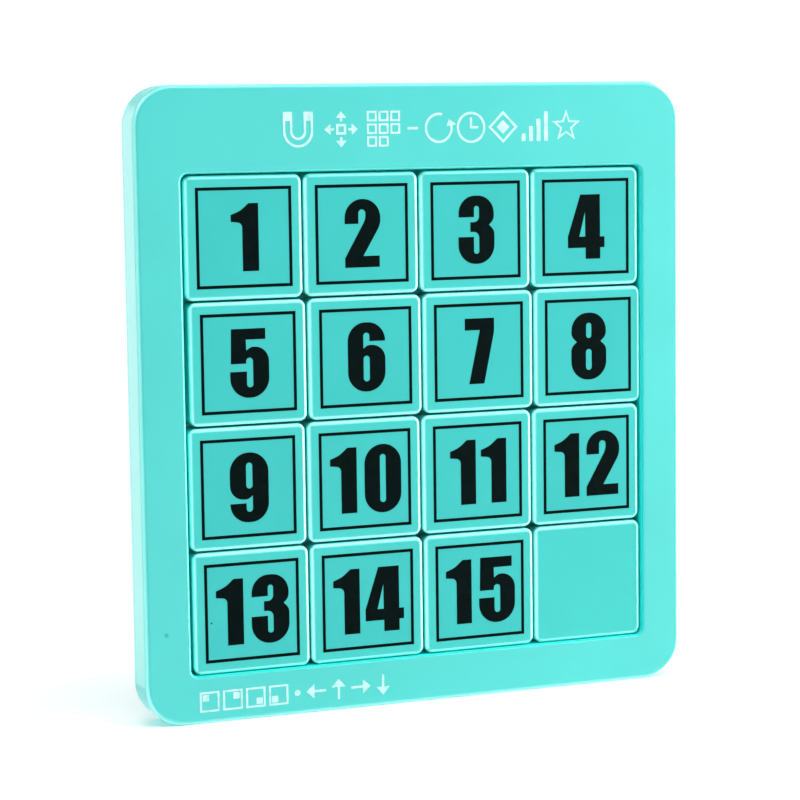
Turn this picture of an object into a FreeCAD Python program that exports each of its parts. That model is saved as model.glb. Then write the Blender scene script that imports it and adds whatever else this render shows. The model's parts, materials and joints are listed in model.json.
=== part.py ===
import FreeCAD, Part
import os

# Magnetic sliding tile puzzle, millimetres.
# It stands on its lower edge: X runs along the rows, the face looks to -Y and Z is up.
# The origin is at the middle of the lower edge, half way through the thickness.

# Tray, outside
TRAY_WIDTH = 112.9
TRAY_HEIGHT = 120.6
TRAY_THICKNESS = 8.6
TRAY_CORNER = 7.7
TRAY_EDGE = 0.9
WALL = 1.6

# Field of tiles, a little to the right of the tray's middle
GRID = 4
PITCH = 23.7
LOWER_BORDER = 9.1
FIELD_SHIFT = 0.3

# Recess that holds the tiles
RECESS_WIDTH = 95.6
RECESS_HEIGHT = 95.0
RECESS_DEPTH = 5.4
RECESS_CORNER = 1.5
RECESS_MOUTH = 0.5
RECESS_WALL = 1.4
FLOOR = 0.8
RIB = 1.0
RIB_SPACING = 24.0

# Steel sheet and back cover, whose parting line runs round the tray
SHEET = 0.5
SHEET_PLAY = 0.3
COVER = TRAY_THICKNESS - RECESS_DEPTH - FLOOR - SHEET
PARTING = 0.15

# Cover screws, one in each corner
SCREW_INSET = 5.6
SHANK_RADIUS = 0.98
SHANK_LENGTH = 4.2
HEAD_RADIUS = 1.9
HEAD_HEIGHT = 0.9
HEAD_ROUND = 0.35
DRIVE_LENGTH = 2.2
DRIVE_WIDTH = 0.45
DRIVE_DEPTH = 0.5
BOSS_RADIUS = 2.6
PILOT_RADIUS = 1.0
PILOT_DEPTH = 4.0
COVER_HOLE_RADIUS = 1.2
COUNTERBORE_RADIUS = 2.2
COUNTERBORE_DEPTH = 1.1

# Tile cap
TILE = 23.3
TILE_THICKNESS = 4.8
TILE_CORNER = 1.5
TILE_EDGE = 0.8
TILE_WALL = 1.3
TILE_TOP = 1.4
HOLLOW_CORNER = 0.8
SOCKET_RADIUS = 1.6
SOCKET_OFFSET = 7.6
POST_RADIUS = 0.78
POST_PLAY = 0.02
POST_LENGTH = 1.8

# Tile base and magnet
BASE = 1.0
BASE_GAP = 0.05
MAGNET_RADIUS = 4.5
MAGNET_HEIGHT = 2.0
MAGNET_PLAY = 0.05
MAGNET_EDGE = 0.2
POCKET_DEPTH = 0.4
CUP_WALL = 1.05
CUP_HEIGHT = 1.2
PRESS_RADIUS = 3.0

# Where each row lies within its side play, from the top row down, and how far all the rows hang down
ROW_SHIFT = (0.08, 0.52, 0.0, 0.23)
FIELD_DROP = 0.1

# Planes through the thickness, from the face to the back
FACE = -TRAY_THICKNESS / 2
BACK = TRAY_THICKNESS / 2
FLOOR_FACE = FACE + RECESS_DEPTH
FLOOR_BACK = FLOOR_FACE + FLOOR
COVER_FACE = BACK - COVER
TILE_FACE = FLOOR_FACE - TILE_THICKNESS

TRAY_MIDDLE = TRAY_HEIGHT / 2
FIELD_MIDDLE = LOWER_BORDER + RECESS_HEIGHT / 2
TOLERANCE = 1e-6


def block(width, height, y_from, y_to, x=0.0, z=0.0, corner=0.0):
    """Plate from y_from to y_to, centred on (x, z), with its corners rounded seen from the face."""
    low = FreeCAD.Vector(x - width / 2, y_from, z - height / 2)
    plate = Part.makeBox(width, y_to - y_from, height, low)
    if not corner:
        return plate
    upright = [edge for edge in plate.Edges if abs(edge.tangentAt(edge.FirstParameter).y) > 0.99]
    return plate.makeFillet(corner, upright)


def disc(radius, y_from, y_to, x=0.0, z=0.0):
    """Cylinder with its axis along Y."""
    return Part.makeCylinder(radius, y_to - y_from, FreeCAD.Vector(x, y_from, z), FreeCAD.Vector(0, 1, 0))


def edges_at(shape, y, half_width=None):
    """Edges that lie in the plane y, within half_width of X = 0 when that is given."""
    found = []
    for edge in shape.Edges:
        box = edge.BoundBox
        in_plane = abs(box.YMin - y) < TOLERANCE and abs(box.YMax - y) < TOLERANCE
        inside = half_width is None or max(abs(box.XMin), abs(box.XMax)) < half_width
        if in_plane and inside:
            found.append(edge)
    return found


def screw_places():
    """Centres of the four cover screws as (x, z)."""
    x = TRAY_WIDTH / 2 - SCREW_INSET
    return [(side * x, z) for side in (-1, 1) for z in (SCREW_INSET, TRAY_HEIGHT - SCREW_INSET)]


def tray_plate(y_from, y_to, inset=0.0):
    """Plate of the tray's outline, less inset all round."""
    return block(TRAY_WIDTH - 2 * inset, TRAY_HEIGHT - 2 * inset, y_from, y_to, z=TRAY_MIDDLE,
                 corner=TRAY_CORNER - inset)


def recess_plate(y_from, y_to, grow=0.0):
    """Plate of the recess's outline, grown all round."""
    return block(RECESS_WIDTH + 2 * grow, RECESS_HEIGHT + 2 * grow, y_from, y_to, x=FIELD_SHIFT,
                 z=FIELD_MIDDLE, corner=RECESS_CORNER + grow)


def ribs(channel):
    """Cross ribs of the hollow border, cut to the channel that they stiffen."""
    bars = None
    for step in (-1, 0, 1):
        place = step * RIB_SPACING
        across = block(TRAY_WIDTH, RIB, FACE, BACK, z=FIELD_MIDDLE + place)
        upright = block(RIB, TRAY_HEIGHT, FACE, BACK, x=place, z=TRAY_MIDDLE)
        pair = across.fuse(upright)
        bars = pair if bars is None else bars.fuse(pair)
    return bars.common(channel)


def front_frame():
    """Tray moulding: face, outer wall, recess with its floor, and the hollow border behind the face."""
    tray = tray_plate(FACE, COVER_FACE)
    tray = tray.makeFillet(TRAY_EDGE, edges_at(tray, FACE))
    tray = tray.cut(recess_plate(FACE, FLOOR_FACE))
    tray = tray.makeFillet(RECESS_MOUTH, edges_at(tray, FACE, half_width=RECESS_WIDTH / 2 + RECESS_WALL))
    channel = tray_plate(FACE + WALL, COVER_FACE, WALL).cut(recess_plate(FACE, BACK, grow=RECESS_WALL))
    tray = tray.cut(channel)
    tray = tray.cut(recess_plate(FLOOR_BACK, COVER_FACE))
    tray = tray.fuse(ribs(channel))
    for x, z in screw_places():
        tray = tray.fuse(disc(BOSS_RADIUS, FACE + WALL, COVER_FACE, x, z))
        tray = tray.cut(disc(PILOT_RADIUS, COVER_FACE - PILOT_DEPTH, COVER_FACE, x, z))
    return tray.removeSplitter()


def steel_sheet():
    """Flat sheet behind the floor, which the magnets hold on to."""
    return block(RECESS_WIDTH - 2 * SHEET_PLAY, RECESS_HEIGHT - 2 * SHEET_PLAY, FLOOR_BACK, COVER_FACE,
                 x=FIELD_SHIFT, z=FIELD_MIDDLE, corner=RECESS_CORNER)


def back_cover():
    """Flat cover of the tray's outline, with a counterbored hole in each corner."""
    cover = tray_plate(COVER_FACE, BACK)
    cover = cover.makeFillet(TRAY_EDGE, edges_at(cover, BACK))
    cover = cover.makeChamfer(PARTING, edges_at(cover, COVER_FACE))
    for x, z in screw_places():
        cover = cover.cut(disc(COVER_HOLE_RADIUS, COVER_FACE, BACK, x, z))
        cover = cover.cut(disc(COUNTERBORE_RADIUS, BACK - COUNTERBORE_DEPTH, BACK, x, z))
    return cover


def cover_screw(x, z):
    """Pan-head screw with a cross drive; the thread is left plain."""
    seat = BACK - COUNTERBORE_DEPTH
    top = seat + HEAD_HEIGHT
    head = disc(HEAD_RADIUS, seat, top, x, z)
    head = head.makeFillet(HEAD_ROUND, edges_at(head, top))
    for width, height in ((DRIVE_LENGTH, DRIVE_WIDTH), (DRIVE_WIDTH, DRIVE_LENGTH)):
        head = head.cut(block(width, height, top - DRIVE_DEPTH, top, x, z))
    return head.fuse(disc(SHANK_RADIUS, seat - SHANK_LENGTH, seat, x, z)).removeSplitter()


def post_places():
    """Centres of a tile's four posts, from the middle of the tile."""
    return [(x, z) for x in (-SOCKET_OFFSET, SOCKET_OFFSET) for z in (-SOCKET_OFFSET, SOCKET_OFFSET)]


def tile_cap():
    """Hollow cap of a tile, with a stub that presses on the magnet and sockets for the base's posts."""
    ceiling = TILE_FACE + TILE_TOP
    cap = block(TILE, TILE, TILE_FACE, FLOOR_FACE, corner=TILE_CORNER)
    cap = cap.makeFillet(TILE_EDGE, edges_at(cap, TILE_FACE))
    hollow = TILE - 2 * TILE_WALL
    cap = cap.cut(block(hollow, hollow, ceiling, FLOOR_FACE, corner=HOLLOW_CORNER))
    magnet_top = FLOOR_FACE - BASE + POCKET_DEPTH - MAGNET_HEIGHT
    cap = cap.fuse(disc(PRESS_RADIUS, ceiling, magnet_top))
    for x, z in post_places():
        cap = cap.fuse(disc(SOCKET_RADIUS, ceiling, FLOOR_FACE - BASE, x, z))
        cap = cap.cut(disc(POST_RADIUS + POST_PLAY, ceiling, FLOOR_FACE - BASE, x, z))
    return cap.removeSplitter()


def tile_base():
    """Base plate of a tile, with the cup that holds the magnet and four posts."""
    size = TILE - 2 * (TILE_WALL + BASE_GAP)
    top = FLOOR_FACE - BASE
    cup_radius = MAGNET_RADIUS + MAGNET_PLAY
    base = block(size, size, top, FLOOR_FACE, corner=HOLLOW_CORNER - BASE_GAP)
    base = base.fuse(disc(cup_radius + CUP_WALL, top - CUP_HEIGHT, top))
    base = base.cut(disc(cup_radius, top - CUP_HEIGHT, top + POCKET_DEPTH))
    for x, z in post_places():
        base = base.fuse(disc(POST_RADIUS, top - POST_LENGTH, top, x, z))
    return base.removeSplitter()


def tile_magnet():
    """Disc magnet that lies in the base's cup."""
    back = FLOOR_FACE - BASE + POCKET_DEPTH
    magnet = disc(MAGNET_RADIUS, back - MAGNET_HEIGHT, back)
    return magnet.makeFillet(MAGNET_EDGE, edges_at(magnet, back) + edges_at(magnet, back - MAGNET_HEIGHT))


def tile_name(number):
    """Name of the tile in cell number, counted from 1 along the rows; the last one is blank."""
    return "tile_blank" if number == GRID * GRID else f"tile_{number:02d}"


def tile_place(number):
    """Where the middle of a tile lies."""
    row, column = divmod(number - 1, GRID)
    x = FIELD_SHIFT + (column - (GRID - 1) / 2) * PITCH + ROW_SHIFT[row]
    z = FIELD_MIDDLE - FIELD_DROP + ((GRID - 1) / 2 - row) * PITCH
    return FreeCAD.Vector(x, 0, z)


def save(name, shape):
    shape.exportStep(os.path.join("parts", name + ".step"))


def build():
    os.makedirs("parts", exist_ok=True)
    save("front_frame", front_frame())
    save("steel_sheet", steel_sheet())
    save("back_cover", back_cover())
    save("cover_screws", Part.makeCompound([cover_screw(x, z) for x, z in screw_places()]))
    pieces = {"cap": tile_cap(), "base": tile_base(), "magnet": tile_magnet()}
    for number in range(1, GRID * GRID + 1):
        for piece, shape in pieces.items():
            placed = shape.copy()
            placed.translate(tile_place(number))
            save(tile_name(number) + "_" + piece, placed)


build()
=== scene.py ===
"""Magnetic sliding tile puzzle: materials, print, floor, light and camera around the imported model.

Metres throughout, in the model's frame: the face looks to -Y and Z is up.
"""
import json
import math

import bmesh
import bpy
from mathutils import Matrix, Vector

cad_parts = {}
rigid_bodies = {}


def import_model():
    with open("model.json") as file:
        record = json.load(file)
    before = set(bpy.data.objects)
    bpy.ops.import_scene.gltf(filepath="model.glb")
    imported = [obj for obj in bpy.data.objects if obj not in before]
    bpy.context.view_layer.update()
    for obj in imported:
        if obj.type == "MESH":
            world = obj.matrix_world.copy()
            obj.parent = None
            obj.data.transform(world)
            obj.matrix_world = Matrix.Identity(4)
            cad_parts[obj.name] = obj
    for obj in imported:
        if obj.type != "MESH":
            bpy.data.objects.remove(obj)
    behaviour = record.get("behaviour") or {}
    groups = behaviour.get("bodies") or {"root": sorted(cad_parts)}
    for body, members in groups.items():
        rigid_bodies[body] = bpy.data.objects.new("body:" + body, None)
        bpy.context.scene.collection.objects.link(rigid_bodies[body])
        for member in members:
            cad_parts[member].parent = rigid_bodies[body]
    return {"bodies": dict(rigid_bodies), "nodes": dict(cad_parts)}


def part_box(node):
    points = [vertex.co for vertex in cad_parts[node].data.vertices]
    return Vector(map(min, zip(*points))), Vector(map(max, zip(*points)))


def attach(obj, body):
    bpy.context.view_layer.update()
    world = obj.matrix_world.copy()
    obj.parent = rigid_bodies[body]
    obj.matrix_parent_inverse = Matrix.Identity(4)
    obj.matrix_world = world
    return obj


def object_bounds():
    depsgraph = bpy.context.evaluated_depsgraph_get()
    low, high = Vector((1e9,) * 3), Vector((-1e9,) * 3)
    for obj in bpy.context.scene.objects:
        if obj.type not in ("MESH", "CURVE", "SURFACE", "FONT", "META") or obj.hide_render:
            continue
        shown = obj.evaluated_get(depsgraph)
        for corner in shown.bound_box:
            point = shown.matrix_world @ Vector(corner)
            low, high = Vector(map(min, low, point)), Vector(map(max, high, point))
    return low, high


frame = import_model()
cad_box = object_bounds()

MM = 0.001
NODES = frame["nodes"]
TILES = [body for body in frame["bodies"] if body.startswith("tile_")]

# Degrees between the points of an arc
ARC_STEP = 9

# Print
INK = 0.03 * MM
SQUARE_HALF = 9.18 * MM
SQUARE_LINE = 0.60 * MM
NUMBER_SHIFT = 0.12 * MM
TITLE_LEFT = -24.3 * MM
TITLE_PITCH = 8.65 * MM
TITLE_DASH = -1.0 * MM
SUBTITLE_LEFT = 4.4 * MM
SUBTITLE_PITCH = 6.77 * MM
TITLE_MIDDLE = 111.95 * MM
MOTTO_LEFT = -44.1 * MM
MOTTO_PITCH = 4.62 * MM
MOTTO_DOT = -26.4 * MM
MOTTO_MIDDLE = 4.2 * MM

# Colours, linear
TRAY_COLOUR = (0.068, 0.497, 0.466)
TILE_COLOUR = (0.055, 0.486, 0.452)
WINDOW_COLOUR = (0.045, 0.438, 0.420)
# Painted shade on the recess mouth, turning into painted light further in on the recess wall
MOUTH_PAINTED_SHADE = (0.0, 0.40, 0.37)
WALL_PAINTED_LIGHT = (0.0, 0.80, 0.74)
# Painted highlight on the rounded edges of the tiles
RIM_PAINTED_HIGHLIGHT = (0.26, 0.86, 0.82)
SCUFF_COLOUR = (0.035, 0.33, 0.31)
SPECK_COLOUR = (0.008, 0.04, 0.036)
DUST_COLOUR = (0.75, 0.8, 0.8)
BLACK_INK = (0.0016, 0.0046, 0.0044)
INK_DUST_COLOUR = (0.3, 0.4, 0.4)
WHITE_INK = (0.42, 0.66, 0.64)
STEEL_COLOUR = (0.62, 0.63, 0.64)
NICKEL_COLOUR = (0.70, 0.69, 0.66)


# ---------------------------------------------------------------- outlines

def rounded(corners):
    """Points of a closed outline whose corners (x, z, radius) are arcs."""
    points = []
    count = len(corners)
    for i, (x, z, radius) in enumerate(corners):
        here = Vector((x, z))
        before = Vector(corners[i - 1][:2])
        after = Vector(corners[(i + 1) % count][:2])
        if not radius:
            points.append(here)
            continue
        a = (before - here).normalized()
        b = (after - here).normalized()
        turn = math.pi - a.angle(b)
        reach = radius * math.tan(turn / 2)
        start = here + a * reach
        centre = here + (a + b).normalized() * (radius / math.cos(turn / 2))
        side = 1 if a.cross(b) < 0 else -1
        pieces = max(2, math.ceil(turn / math.radians(ARC_STEP)))
        for k in range(pieces + 1):
            spin = Matrix.Rotation(side * turn * k / pieces, 2)
            points.append(centre + spin @ (start - centre))
    return points


def box_corners(x0, z0, x1, z1, radius=0.0):
    return [(x0, z0, radius), (x1, z0, radius), (x1, z1, radius), (x0, z1, radius)]


def square(half, x=0.0, z=0.0):
    return rounded(box_corners(x - half, z - half, x + half, z + half))


def around(radius, angle, z=0.0):
    """Point at an angle in degrees, on a circle about (0, z)."""
    angle = math.radians(angle)
    return Vector((radius * math.cos(angle), z + radius * math.sin(angle)))


def arc(radius, start, end, z=0.0):
    """Points along an arc, angles in degrees."""
    pieces = max(2, math.ceil(abs(end - start) / ARC_STEP))
    return [around(radius, start + (end - start) * k / pieces, z) for k in range(pieces + 1)]


def circle(radius):
    return arc(radius, 0, 360 - ARC_STEP)


def points_of(*pairs):
    return [Vector(pair) for pair in pairs]


def placed(outlines, x, z, scale=MM, turn=0.0):
    """Outlines drawn about the origin, scaled, turned and moved to (x, z)."""
    spin = Matrix.Rotation(math.radians(turn), 2)
    return [[spin @ (point * scale) + Vector((x, z)) for point in outline] for outline in outlines]


def ink_mesh(name, outlines, face_y):
    """Thin printed layer on the plane face_y, filled between the outlines."""
    curve = bpy.data.curves.new(name, "CURVE")
    curve.dimensions = "2D"
    curve.fill_mode = "BOTH"
    curve.extrude = INK / 2
    for outline in outlines:
        spline = curve.splines.new("POLY")
        spline.points.add(len(outline) - 1)
        for point, place in zip(spline.points, outline):
            point.co = (place.x, place.y, 0.0, 1.0)
        spline.use_cyclic_u = True
    holder = bpy.data.objects.new(name + "_outline", curve)
    bpy.context.scene.collection.objects.link(holder)
    graph = bpy.context.evaluated_depsgraph_get()
    mesh = bpy.data.meshes.new_from_object(holder.evaluated_get(graph))
    bpy.data.objects.remove(holder)
    mesh.transform(Matrix.Translation((0, face_y - INK / 2, 0)) @ Matrix.Rotation(math.pi / 2, 4, "X"))
    shape = bmesh.new()
    shape.from_mesh(mesh)
    bmesh.ops.remove_doubles(shape, verts=shape.verts, dist=1e-7)
    bmesh.ops.recalc_face_normals(shape, faces=shape.faces)
    shape.to_mesh(mesh)
    shape.free()
    mesh.name = name
    piece = bpy.data.objects.new(name, mesh)
    bpy.context.scene.collection.objects.link(piece)
    return piece


# ---------------------------------------------------------------- numerals
# Heavy condensed figures, in millimetres: x from the figure's left edge, z from the tile's middle.

SIX_WIDTH = 7.7
NINE_RISE = 0.05
GAPS = {"1": 1.1, "4": 1.15}
PLAIN_GAP = 1.6


def half_turned(outline):
    """An outline of the six, turned upside down into the nine."""
    return [(SIX_WIDTH - x, NINE_RISE - z, radius) for x, z, radius in outline]


SIX = [
    [(0, 6.7, 3.6), (SIX_WIDTH, 6.7, 3.6), (SIX_WIDTH, 3.05, 0), (4.47, 3.05, 0), (4.47, 4.7, 0.62),
     (3.2, 4.7, 0.62), (3.2, 1.6, 0), (4.1, 2.3, 1.5), (SIX_WIDTH, 2.3, 2.7), (SIX_WIDTH, -6.65, 3.75),
     (0, -6.65, 3.75)],
    box_corners(3.2, -4.7, 4.47, 0.25, 0.62),
]

FIGURES = {
    "0": (7.6, [box_corners(0, -6.65, 7.6, 6.7, 3.75), box_corners(3.2, -4.65, 4.4, 4.75, 0.58)]),
    "1": (5.45, [[(0, 4.25, 0), (1.9, 4.95, 5), (3.56, 6.38, 0), (5.45, 6.38, 0), (5.45, -6.36, 0),
                  (2.24, -6.36, 0), (2.24, 2.72, 1.0), (0, 2.95, 0)]]),
    "2": (7.3, [[(0, 1.92, 0), (0, 6.62, 3.6), (7.3, 6.62, 3.6), (7.3, 1.67, 4.0), (3.73, -4.27, 0),
                 (7.06, -4.27, 0), (7.06, -6.42, 0), (0, -6.42, 0), (0, -4.61, 0.5), (4.26, 2.74, 3.0),
                 (4.26, 4.62, 0.7), (2.8, 4.62, 0.7), (2.8, 1.92, 0)]]),
    "3": (7.62, [[(0.08, 2.55, 0), (0.08, 6.7, 3.4), (7.52, 6.7, 3.4), (7.52, 1.95, 1.9), (6.51, 1.01, 0),
                  (7.62, -0.1, 1.9), (7.62, -6.56, 3.7), (0, -6.56, 3.7), (0, -1.29, 0), (3.27, -1.29, 0),
                  (3.27, -4.6, 0.55), (4.4, -4.6, 0.55), (4.4, -0.32, 1.15), (2.53, -0.32, 0),
                  (2.53, 1.57, 0), (4.4, 1.57, 1.1), (4.4, 4.7, 0.53), (3.32, 4.7, 0.53),
                  (3.32, 2.55, 0)]]),
    "4": (8.02, [[(0, -1.86, 0), (2.74, 6.38, 0), (7.02, 6.38, 0), (7.05, -1.99, 0), (8.02, -1.99, 0),
                  (8.02, -4.12, 0), (7.07, -4.12, 0), (7.07, -6.36, 0), (3.87, -6.36, 0),
                  (3.87, -4.12, 0), (0, -4.12, 0)],
                 [(3.77, 3.0, 0), (3.8, -1.92, 0), (2.5, -1.92, 0)]]),
    "5": (7.75, [[(0.31, 6.5, 0), (7.1, 6.5, 0), (7.1, 4.43, 0), (3.2, 4.43, 0), (3.25, 2.36, 0),
                  (4.3, 3.05, 1.6), (7.75, 3.05, 2.8), (7.75, -6.6, 3.75), (0, -6.6, 3.75), (0, -1.6, 0),
                  (3.31, -1.6, 0), (3.31, -4.62, 0.6), (4.57, -4.62, 0.6), (4.57, 0.98, 0.62),
                  (3.26, 0.98, 0.62), (3.18, -0.1, 0), (0.17, -0.1, 0)]]),
    "6": (SIX_WIDTH, SIX),
    "7": (6.24, [[(0, 6.5, 0), (6.24, 6.5, 0), (6.24, 3.9, 4.0), (4.06, -6.34, 0), (0.84, -6.34, 0),
                  (3.2, 4.2, 0), (0, 4.2, 0)]]),
    "8": (7.69, [[(0.05, 6.65, 3.55), (7.62, 6.65, 3.55), (7.62, 1.95, 1.9), (6.42, 0.88, 0),
                  (7.69, -0.15, 1.9), (7.69, -6.7, 3.7), (0, -6.7, 3.7), (0, -0.15, 1.9), (1.25, 0.88, 0),
                  (0.05, 1.95, 1.9)],
                 box_corners(3.26, 1.6, 4.42, 4.63, 0.56), box_corners(3.2, -4.77, 4.47, -0.6, 0.62)]),
    "9": (SIX_WIDTH, [half_turned(outline) for outline in SIX]),
}


def number_outlines(text, x, z):
    """Outlines of a number centred on (x, z), in metres."""
    gaps = [GAPS.get(figure, PLAIN_GAP) for figure in text[1:]] + [0.0]
    width = sum(FIGURES[figure][0] for figure in text) + sum(gaps)
    left = -width / 2
    outlines = []
    for figure, gap in zip(text, gaps):
        figure_width, contours = FIGURES[figure]
        drawn = [rounded(contour) for contour in contours]
        outlines += placed(drawn, x + left * MM, z)
        left += figure_width + gap
    return outlines


def tile_middle(body):
    """Middle of a tile's cap across and up, and the depth of its face."""
    low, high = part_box(body + "_cap")
    return (low[0] + high[0]) / 2, (low[2] + high[2]) / 2, low[1]


def tile_print(body):
    """Square line and number on one tile."""
    x, z, face = tile_middle(body)
    outlines = [square(SQUARE_HALF + SQUARE_LINE / 2, x, z), square(SQUARE_HALF - SQUARE_LINE / 2, x, z)]
    outlines += number_outlines(str(int(body[-2:])), x + NUMBER_SHIFT, z)
    piece = ink_mesh(body + "_print", outlines, face)
    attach(piece, body)
    return piece


# ---------------------------------------------------------------- ornaments
# Line drawings in place of words, in millimetres about their own middle.

LINE = 0.45
THIN_LINE = 0.38


def horseshoe(outer, inner, end):
    """Outline of a horseshoe between two radii, whose legs reach up to end."""
    bend = -0.3
    return (points_of((-outer, end)) + arc(outer, 180, 360, bend) + points_of((outer, end), (inner, end))
            + arc(inner, 360, 180, bend) + points_of((-inner, end)))


def magnet_sign():
    """Horseshoe with solid poles."""
    outer, inner = 3.0, 1.15
    return [horseshoe(outer, inner, 3.4), horseshoe(outer - LINE, inner + LINE, 1.7)]


def arrow(turn, near=1.5, neck=2.15, tip=3.4, head=1.05):
    """Arrow that starts at near, with a head of half width head from neck to tip."""
    half = LINE / 2
    outline = points_of((near, -half), (neck, -half), (neck, -head), (tip, 0), (neck, head), (neck, half),
                        (near, half))
    return placed([outline], 0, 0, 1.0, turn)


def moves_sign():
    """Square with an arrow to each side."""
    signs = [square(1.0), square(1.0 - LINE)]
    for turn in (0, 90, 180, 270):
        signs += arrow(turn)
    return signs


def board_sign():
    """Three by three small squares, the last one missing."""
    pitch = 2.4
    signs = []
    for row in (1, 0, -1):
        for column in (-1, 0, 1):
            if (row, column) != (-1, 1):
                signs += [square(half, column * pitch, row * pitch) for half in (1.0, 1.0 - THIN_LINE)]
    return signs


def dash_sign():
    return [rounded(box_corners(-1.05, -LINE / 2, 1.05, LINE / 2))]


def again_sign():
    """Circular arrow."""
    outer, inner = 2.9, 2.9 - LINE
    middle = (outer + inner) / 2
    start, neck, tip = 75, 370, 398
    head = [around(middle + 1.0, neck), around(middle, tip), around(middle - 1.0, neck)]
    return [arc(outer, start, neck) + head + arc(inner, neck, start)]


def clock_sign():
    """Clock at three."""
    radius, half = 3.0, LINE / 2
    hands = points_of((-half, 1.9), (half, 1.9), (half, half), (1.5, half), (1.5, -half), (-half, -half))
    return [circle(radius), circle(radius - LINE), hands]


def gem_sign():
    """Diamond in a diamond."""
    outer, inner = 3.1, 1.35
    return [points_of((size, 0), (0, size), (-size, 0), (0, -size))
            for size in (outer, outer - 1.4 * LINE, inner)]


def steps_sign():
    """Four rising bars."""
    foot, width = -2.8, 0.8
    return [rounded(box_corners(x, foot, x + width, height + foot))
            for x, height in ((-2.8, 1.5), (-1.2, 2.9), (0.4, 4.3), (2.0, 5.7))]


def star_sign():
    """Outline of a five-pointed star."""
    outer, notch = 3.2, 0.42
    signs = []
    for size in (outer, outer - 2.2 * LINE):
        star = []
        for k in range(5):
            star += [around(size, 90 + 72 * k), around(size * notch, 126 + 72 * k)]
        signs.append(star)
    return signs


def corner_sign(turn):
    """Small square with one quarter filled."""
    half = 1.95
    quarter = square(0.62, 0.75, 0.75)
    return [square(half), square(half - THIN_LINE)] + placed([quarter], 0, 0, 1.0, turn)


def title_print():
    """Row of signs on the upper border."""
    outlines = []
    for k, sign in enumerate((magnet_sign, moves_sign, board_sign)):
        outlines += placed(sign(), TITLE_LEFT + k * TITLE_PITCH, TITLE_MIDDLE)
    outlines += placed(dash_sign(), TITLE_DASH, TITLE_MIDDLE)
    for k, sign in enumerate((again_sign, clock_sign, gem_sign, steps_sign, star_sign)):
        outlines += placed(sign(), SUBTITLE_LEFT + k * SUBTITLE_PITCH, TITLE_MIDDLE)
    return outlines


def motto_print():
    """Row of small signs on the lower border."""
    outlines = placed([circle(0.6)], MOTTO_DOT, MOTTO_MIDDLE)
    for k, turn in enumerate((90, 0, 270, 180)):
        outlines += placed(corner_sign(turn), MOTTO_LEFT + k * MOTTO_PITCH, MOTTO_MIDDLE)
    right = 2 * MOTTO_DOT - MOTTO_LEFT
    for k, turn in enumerate((180, 90, 0, 270)):
        shape = arrow(turn, near=-2.0, neck=0.4, tip=2.0, head=1.4)
        outlines += placed(shape, right + (k - 3) * MOTTO_PITCH, MOTTO_MIDDLE)
    return outlines


def tray_print(name, outlines):
    """White print on the tray's face."""
    piece = ink_mesh(name, outlines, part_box("front_frame")[0][1])
    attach(piece, "tray")
    return piece


# ---------------------------------------------------------------- materials

MAP_SOCKETS = ("From Min", "From Max", "To Min", "To Max")


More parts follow.
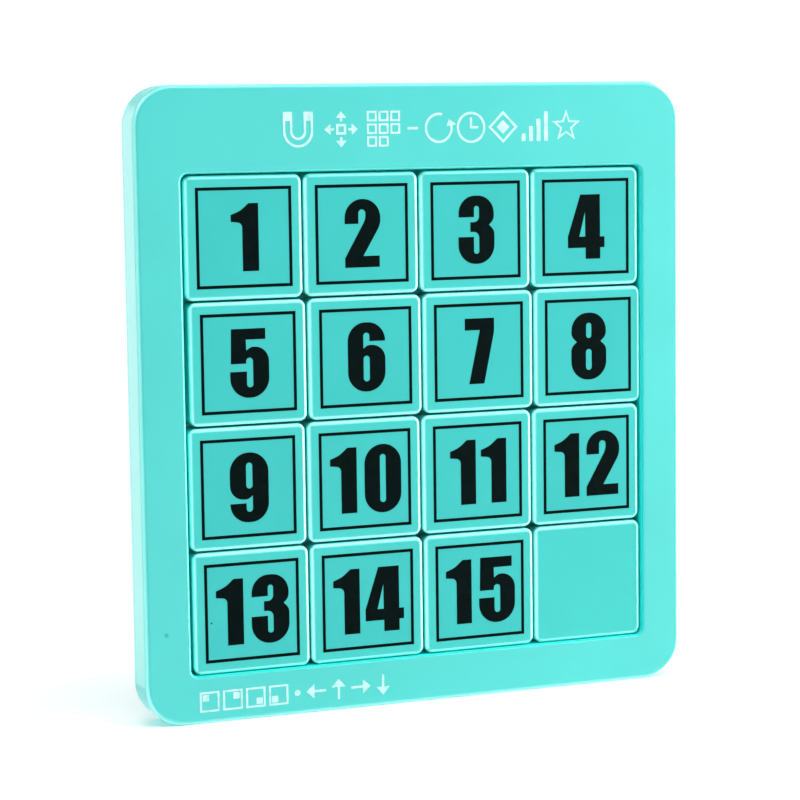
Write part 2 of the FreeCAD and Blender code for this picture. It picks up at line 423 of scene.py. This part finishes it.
class Nodes:
    """Short ways to build one material's node tree."""

    def __init__(self, name):
        self.material = bpy.data.materials.new(name)
        self.material.use_nodes = True
        self.tree = self.material.node_tree
        self.shader = self.tree.nodes["Principled BSDF"]
        self.place = self.tree.nodes.new("ShaderNodeTexCoord").outputs["Object"]

    def link(self, source, target):
        self.tree.links.new(source, target)

    def value(self, target, source):
        if isinstance(source, (int, float)):
            target.default_value = source
        else:
            self.link(source, target)

    def noise(self, scale, detail):
        """Noise from 0 to 1, mostly near the middle; scale is in waves per metre."""
        node = self.tree.nodes.new("ShaderNodeTexNoise")
        node.inputs["Scale"].default_value = scale
        node.inputs["Detail"].default_value = detail
        self.link(self.place, node.inputs["Vector"])
        return node.outputs["Fac"]

    def red(self, colour):
        node = self.tree.nodes.new("ShaderNodeSeparateColor")
        self.link(colour, node.inputs["Color"])
        return node.outputs["Red"]

    def dots(self, scale, size, share):
        """1 in sparse round dots, 0 elsewhere.

        Scale is in cells per metre, size is a dot's radius in cells, and share is how many cells have one.
        """
        node = self.tree.nodes.new("ShaderNodeTexVoronoi")
        node.inputs["Scale"].default_value = scale
        self.link(self.place, node.inputs["Vector"])
        near = self.span(node.outputs["Distance"], size, size * 0.6, 0.0, 1.0)
        chosen = self.math("LESS_THAN", self.red(node.outputs["Color"]), share)
        return self.math("MULTIPLY", near, chosen)

    def axes(self):
        node = self.tree.nodes.new("ShaderNodeSeparateXYZ")
        self.link(self.place, node.inputs["Vector"])
        return node.outputs

    def offset(self, axis, middle):
        """Distance from middle along one axis."""
        return self.math("ABSOLUTE", self.math("SUBTRACT", self.axes()[axis], middle))

    def spot(self, x, z, radius):
        """1 within radius of the line (x, z), with a soft edge."""
        squares = [self.math("POWER", self.offset(axis, place), 2.0) for axis, place in (("X", x), ("Z", z))]
        away = self.math("SQRT", self.math("ADD", *squares))
        return self.span(away, radius, radius * 0.4, 0.0, 1.0)

    def math(self, operation, a, b=0.0):
        node = self.tree.nodes.new("ShaderNodeMath")
        node.operation = operation
        self.value(node.inputs[0], a)
        self.value(node.inputs[1], b)
        return node.outputs[0]

    def span(self, source, start, end, low, high):
        """Goes from low to high as source goes from start to end."""
        node = self.tree.nodes.new("ShaderNodeMapRange")
        self.link(source, node.inputs["Value"])
        for socket, number in zip(MAP_SOCKETS, (start, end, low, high)):
            node.inputs[socket].default_value = number
        return node.outputs["Result"]

    def vary(self, scale, detail, low, high):
        """Noise between low and high, mostly near the middle."""
        return self.span(self.noise(scale, detail), 0.0, 1.0, low, high)

    def blend(self, share, first, second):
        """Colour between first and second."""
        node = self.tree.nodes.new("ShaderNodeMix")
        node.data_type = "RGBA"
        sockets = [socket for socket in node.inputs if socket.type == "RGBA"]
        self.value(node.inputs[0], share)
        for socket, colour in zip(sockets, (first, second)):
            if isinstance(colour, tuple):
                socket.default_value = (*colour, 1.0)
            else:
                self.link(colour, socket)
        return next(socket for socket in node.outputs if socket.type == "RGBA")

    def bump(self, height, distance):
        node = self.tree.nodes.new("ShaderNodeBump")
        node.inputs["Distance"].default_value = distance
        self.link(height, node.inputs["Height"])
        self.link(node.outputs["Normal"], self.shader.inputs["Normal"])


def shade(colour, factor):
    return tuple(channel * factor for channel in colour)


# Waves are per metre; dots have their cells per metre, their radius in cells and the share of cells.

# Plastic
TRAY_ROUGHNESS = 0.3
WALL_ROUGHNESS = 0.7
TILE_ROUGHNESS = 0.17
PLASTIC_IOR = 1.5
MOTTLE_WAVES = 45
MOTTLE = 0.075
HANDLING_WAVES = 60
HANDLING = 0.02
GRAIN_WAVES = 2600
GRAIN_HEIGHT = 0.002 * MM
PLASTIC_DOTS = (420, 0.035, 0.01)
PLASTIC_DUST = 0.3
SCUFF_PLACE = (-52.3 * MM, 17.7 * MM)
SCUFF_RADIUS = 0.6 * MM
SPECK_TILE = "tile_13"
SPECK_OFFSET = (-8.2 * MM, -1.8 * MM)
SPECK_RADIUS = 0.24 * MM

# Layer that counts as the surface itself
SKIN = 0.1 * MM

# Where the recess wall's matt finish, painted shade and painted light start and are full: past the edge of
# the steel sheet, and behind the tray's face
WALL_STARTS = (-0.6 * MM, 0.1 * MM)
WALL_ENDS = (1.0 * MM, 0.9 * MM)
MOUTH_DEPTH = (0.02 * MM, 0.12 * MM)
SHADE_TO_LIGHT_DEPTH = (0.3 * MM, 0.7 * MM)

# The same on a tile, for the painted highlight on its rounded edge and the tone inside the printed square:
# out from its middle, and behind its face
HIGHLIGHT_RIM = (10.85 * MM, 11.35 * MM)
HIGHLIGHT_RIM_DEPTH = (1.2 * MM, 0.5 * MM)
WINDOW = (SQUARE_HALF + SQUARE_LINE / 2, SQUARE_HALF - 0.1 * MM)

# Ink
INK_WAVES = 700
INK_CLOUD = 0.5
INK_GLOSS_WAVES = 900
INK_ROUGHNESS = (0.3, 0.6)
INK_DOTS = (650, 0.05, 0.03)
INK_DUST = 0.5
INK_GRAIN_WAVES = 5000
INK_GRAIN_HEIGHT = 0.003 * MM

# Metal
METAL_TONES = (0.8, 1.15)
METAL_ROUGHNESS = (-0.15, 0.18)
METAL_GRAIN_HEIGHT = 0.004 * MM

# Floor
FLOOR_WAVES = 3
FLOOR_ROUGHNESS = 0.9
FLOOR_GLOSS = 0.1


def mottled(m, colour):
    """Colour of moulded plastic, uneven by a few percent."""
    return m.blend(m.vary(MOTTLE_WAVES, 4, 0.0, 1.0), shade(colour, 1 - MOTTLE), shade(colour, 1 + MOTTLE))


def satin(m, colour, roughness):
    """Finish of moulded plastic: faint handling marks, fine moulding grain and a little dust."""
    dust = m.math("MULTIPLY", m.dots(*PLASTIC_DOTS), PLASTIC_DUST)
    m.link(m.blend(dust, colour, DUST_COLOUR), m.shader.inputs["Base Color"])
    marks = m.vary(HANDLING_WAVES, 2, -HANDLING, HANDLING)
    m.link(m.math("ADD", marks, roughness), m.shader.inputs["Roughness"])
    m.shader.inputs["IOR"].default_value = PLASTIC_IOR
    m.bump(m.noise(GRAIN_WAVES, 2), GRAIN_HEIGHT)
    return m.material


def behind(face, depths):
    return [face + depth for depth in depths]


def recess_wall(m, depth, face):
    """1 on the wall and the rounded mouth of the recess, 0 elsewhere."""
    low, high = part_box("steel_sheet")
    sides = [m.math("SUBTRACT", m.offset(axis, (low[k] + high[k]) / 2), (high[k] - low[k]) / 2)
             for axis, k in (("X", 0), ("Z", 2))]
    past_sheet = m.math("MAXIMUM", *sides)
    beside = m.math("MULTIPLY", m.span(past_sheet, *WALL_STARTS, 0.0, 1.0),
                    m.span(past_sheet, *WALL_ENDS, 0.0, 1.0))
    sunk = m.math("MULTIPLY", m.span(depth, *behind(face, MOUTH_DEPTH), 0.0, 1.0),
                  m.math("LESS_THAN", depth, low[1] - SKIN))
    return m.math("MULTIPLY", beside, sunk)


def tray_material():
    """Tray plastic, matt on the wall and the rounded mouth of the recess, with painted shade on the mouth
    and painted light further in on the wall.
    """
    m = Nodes("tray_plastic")
    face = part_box("front_frame")[0][1]
    depth = m.axes()["Y"]
    wall = recess_wall(m, depth, face)
    shade_to_light = m.span(depth, *behind(face, SHADE_TO_LIGHT_DEPTH), 0.0, 1.0)
    # Painted shade on the rounded mouth of the recess, turning into painted light further in on the wall
    colour = m.blend(wall, mottled(m, TRAY_COLOUR), m.blend(shade_to_light, MOUTH_PAINTED_SHADE, WALL_PAINTED_LIGHT))
    scuff = m.math("MULTIPLY", m.spot(*SCUFF_PLACE, SCUFF_RADIUS), m.math("LESS_THAN", depth, 0.0))
    colour = m.blend(scuff, colour, SCUFF_COLOUR)
    return satin(m, colour, m.span(wall, 0.0, 1.0, TRAY_ROUGHNESS, WALL_ROUGHNESS))


def tile_material(body):
    """Tile plastic, with a painted highlight on the rounded edge of its face and a little deeper inside the
    printed square.
    """
    m = Nodes(body + "_plastic")
    x, z, face = tile_middle(body)
    depth = m.axes()["Y"]
    reach = m.math("MAXIMUM", m.offset("X", x), m.offset("Z", z))
    # Painted highlight: lighter colour on the rounded edge near the face
    rim_highlight = m.span(reach, *HIGHLIGHT_RIM, 0.0, 1.0)
    shallow_highlight = m.span(depth, *behind(face, HIGHLIGHT_RIM_DEPTH), 0.0, 1.0)
    colour = m.blend(m.math("MULTIPLY", rim_highlight, shallow_highlight), mottled(m, TILE_COLOUR), RIM_PAINTED_HIGHLIGHT)
    if body != "tile_blank":
        window = m.span(reach, *WINDOW, 0.0, 1.0)
        front = m.math("LESS_THAN", depth, face + SKIN)
        colour = m.blend(m.math("MULTIPLY", window, front), colour, mottled(m, WINDOW_COLOUR))
    if body == SPECK_TILE:
        speck = m.spot(x + SPECK_OFFSET[0], z + SPECK_OFFSET[1], SPECK_RADIUS)
        colour = m.blend(speck, colour, SPECK_COLOUR)
    return satin(m, colour, TILE_ROUGHNESS)


def ink(name, colour, gloss):
    """Pad-printed ink with a cloudy tone and a few dust dots."""
    m = Nodes(name)
    cloud = m.vary(INK_WAVES, 3, 0.0, 1.0)
    cloudy = m.blend(cloud, shade(colour, 1 - INK_CLOUD), shade(colour, 1 + INK_CLOUD))
    dust = m.math("MULTIPLY", m.dots(*INK_DOTS), INK_DUST)
    m.link(m.blend(dust, cloudy, INK_DUST_COLOUR), m.shader.inputs["Base Color"])
    m.link(m.vary(INK_GLOSS_WAVES, 3, *INK_ROUGHNESS), m.shader.inputs["Roughness"])
    m.shader.inputs["Specular IOR Level"].default_value = gloss
    m.bump(m.noise(INK_GRAIN_WAVES, 2), INK_GRAIN_HEIGHT)
    return m.material


def metal(name, colour, roughness, grain):
    """Plated or rolled metal with fine grain, in waves per metre."""
    m = Nodes(name)
    dark, light = (shade(colour, tone) for tone in METAL_TONES)
    m.link(m.blend(m.vary(grain, 5, 0.0, 1.0), dark, light), m.shader.inputs["Base Color"])
    m.shader.inputs["Metallic"].default_value = 1.0
    smooth, rough = (roughness + change for change in METAL_ROUGHNESS)
    m.link(m.vary(grain * 3, 4, smooth, rough), m.shader.inputs["Roughness"])
    m.bump(m.noise(grain * 6, 2), METAL_GRAIN_HEIGHT)
    return m.material


def dress(obj, material):
    obj.data.materials.clear()
    obj.data.materials.append(material)


def dress_all():
    """Every part and print gets its material; the prints are made on the way."""
    tray_plastic = tray_material()
    steel = metal("steel", STEEL_COLOUR, roughness=0.35, grain=300)
    nickel = metal("nickel", NICKEL_COLOUR, roughness=0.22, grain=500)
    black_ink = ink("black_ink", BLACK_INK, gloss=0.01)
    white_ink = ink("white_ink", WHITE_INK, gloss=0.4)
    for name in ("front_frame", "back_cover"):
        dress(NODES[name], tray_plastic)
    dress(NODES["steel_sheet"], steel)
    dress(NODES["cover_screws"], nickel)
    for body in TILES:
        plastic = tile_material(body)
        dress(NODES[body + "_cap"], plastic)
        dress(NODES[body + "_base"], plastic)
        dress(NODES[body + "_magnet"], nickel)
        if body != "tile_blank":
            dress(tile_print(body), black_ink)
    dress(tray_print("title_print", title_print()), white_ink)
    dress(tray_print("motto_print", motto_print()), white_ink)


# ---------------------------------------------------------------- floor, light, camera

FLOOR_RADIUS = 0.4
FLOOR_DARK = (0.87, 0.87, 0.87)
FLOOR_LIGHT = (0.91, 0.91, 0.91)
TENT = 0.9
TENT_DARK = 0.1
BACKDROP = 1.3
DARK_SIDE = Vector((0.05, -1.0, 0.0)).normalized()
DARK_STARTS = math.radians(65)
DARK_FULL = math.radians(25)

# Panels of the tent: direction cosine where it starts, where it is full, and the brightness at both
RIGHT_PANEL = (0.6, 0.75, 0.0, 16.0)
LEFT_PANEL = (-0.3, -0.6, 0.0, 8.0)
TOP_PANEL = (0.35, 0.7, 0.0, 5.0)
FOOT_PANEL = (-0.3, -0.6, 0.0, 4.5)
PANELS_END = (0.3, 0.7, 1.0, 0.0)

# Lights: place, width and height, radiance
LIGHTS_AIM = Vector((0, 0, 0.06))
SOFTBOXES = {
    "left_back": ((-0.45, 1.0, 0.1), (0.5, 0.7), 1.8),
    "right": ((0.95, -0.5, 0.25), (0.7, 0.9), 8.0),
    "top": ((0.0, -0.45, 0.95), (0.9, 0.6), 3.0),
}

EYE = Vector((-0.18677, -0.4601, 0.1137))
LOOK_AZIMUTH = math.radians(21.81)
LOOK_ELEVATION = math.radians(-6.27)
ROLL = math.radians(-0.76)
LENS = 115.0
SENSOR = 36.0


def floor():
    """Pale floor, wide enough to fade into the white surroundings."""
    shape = bmesh.new()
    bmesh.ops.create_circle(shape, cap_ends=True, segments=96, radius=FLOOR_RADIUS)
    mesh = bpy.data.meshes.new("floor")
    shape.to_mesh(mesh)
    shape.free()
    piece = bpy.data.objects.new("floor", mesh)
    bpy.context.scene.collection.objects.link(piece)
    m = Nodes("floor")
    tone = m.vary(FLOOR_WAVES, 3, 0.0, 1.0)
    m.link(m.blend(tone, FLOOR_DARK, FLOOR_LIGHT), m.shader.inputs["Base Color"])
    m.shader.inputs["Roughness"].default_value = FLOOR_ROUGHNESS
    m.shader.inputs["Specular IOR Level"].default_value = FLOOR_GLOSS
    dress(piece, m.material)
    piece.location.z = cad_box[0][2]
    piece.visible_glossy = False


def softbox(name, place, size, brightness):
    """Rectangular light that faces the puzzle; brightness is its radiance."""
    data = bpy.data.lights.new(name, "AREA")
    data.shape = "RECTANGLE"
    data.size, data.size_y = size
    data.energy = brightness * math.pi * size[0] * size[1]
    lamp = bpy.data.objects.new(name, data)
    lamp.location = place
    aim = LIGHTS_AIM - Vector(place)
    lamp.rotation_euler = aim.to_track_quat("-Z", "Y").to_euler()
    lamp.visible_camera = False
    bpy.context.scene.collection.objects.link(lamp)


def tent():
    """White backdrop, and a tent that is dim where the puzzle's face looks to.

    Its sides, top and foot are bright in reflections only, where they light up rounded edges.
    """
    world = bpy.data.worlds.new("tent")
    world.use_nodes = True
    nodes, links = world.node_tree.nodes, world.node_tree.links
    background = nodes["Background"]
    background.inputs["Color"].default_value = (1, 1, 1, 1)
    direction = nodes.new("ShaderNodeTexCoord").outputs["Generated"]
    facing = nodes.new("ShaderNodeVectorMath")
    facing.operation = "DOT_PRODUCT"
    facing.inputs[1].default_value = DARK_SIDE
    links.new(direction, facing.inputs[0])
    split = nodes.new("ShaderNodeSeparateXYZ")
    links.new(direction, split.inputs["Vector"])
    path = nodes.new("ShaderNodeLightPath")

    def ramp(source, start, end, low, high):
        """Brightness that goes smoothly from low to high between two directions."""
        node = nodes.new("ShaderNodeMapRange")
        node.interpolation_type = "SMOOTHSTEP"
        links.new(source, node.inputs["Value"])
        for socket, number in zip(MAP_SOCKETS, (start, end, low, high)):
            node.inputs[socket].default_value = number
        return node.outputs["Result"]

    def combine(operation, first, second):
        node = nodes.new("ShaderNodeMath")
        node.operation = operation
        links.new(first, node.inputs[0])
        links.new(second, node.inputs[1])
        return node.outputs["Value"]

    base = ramp(facing.outputs["Value"], math.cos(DARK_STARTS), math.cos(DARK_FULL), TENT, TENT_DARK)
    panels = ramp(split.outputs["X"], *RIGHT_PANEL)
    for axis, panel in (("X", LEFT_PANEL), ("Z", TOP_PANEL), ("Z", FOOT_PANEL)):
        panels = combine("ADD", panels, ramp(split.outputs[axis], *panel))
    panels = combine("MULTIPLY", panels, ramp(split.outputs["Y"], *PANELS_END))
    lit = combine("ADD", base, combine("MULTIPLY", panels, path.outputs["Is Glossy Ray"]))
    backdrop = nodes.new("ShaderNodeMix")
    links.new(path.outputs["Is Camera Ray"], backdrop.inputs["Factor"])
    links.new(lit, backdrop.inputs["A"])
    backdrop.inputs["B"].default_value = BACKDROP
    links.new(backdrop.outputs["Result"], background.inputs["Strength"])
    bpy.context.scene.world = world
    bpy.context.scene.view_settings.view_transform = "Standard"


def camera():
    data = bpy.data.cameras.new("camera")
    data.lens = LENS
    data.sensor_width = SENSOR
    data.clip_start = 0.01
    data.clip_end = 50.0
    eye = bpy.data.objects.new("camera", data)
    forward = Vector((math.sin(LOOK_AZIMUTH) * math.cos(LOOK_ELEVATION),
                      math.cos(LOOK_AZIMUTH) * math.cos(LOOK_ELEVATION), math.sin(LOOK_ELEVATION)))
    turn = forward.to_track_quat("-Z", "Y").to_matrix().to_4x4()
    eye.matrix_world = Matrix.Translation(EYE) @ turn @ Matrix.Rotation(ROLL, 4, "Z")
    bpy.context.scene.collection.objects.link(eye)
    bpy.context.scene.camera = eye


dress_all()
floor()
tent()
for name, settings in SOFTBOXES.items():
    softbox(name, *settings)
camera()
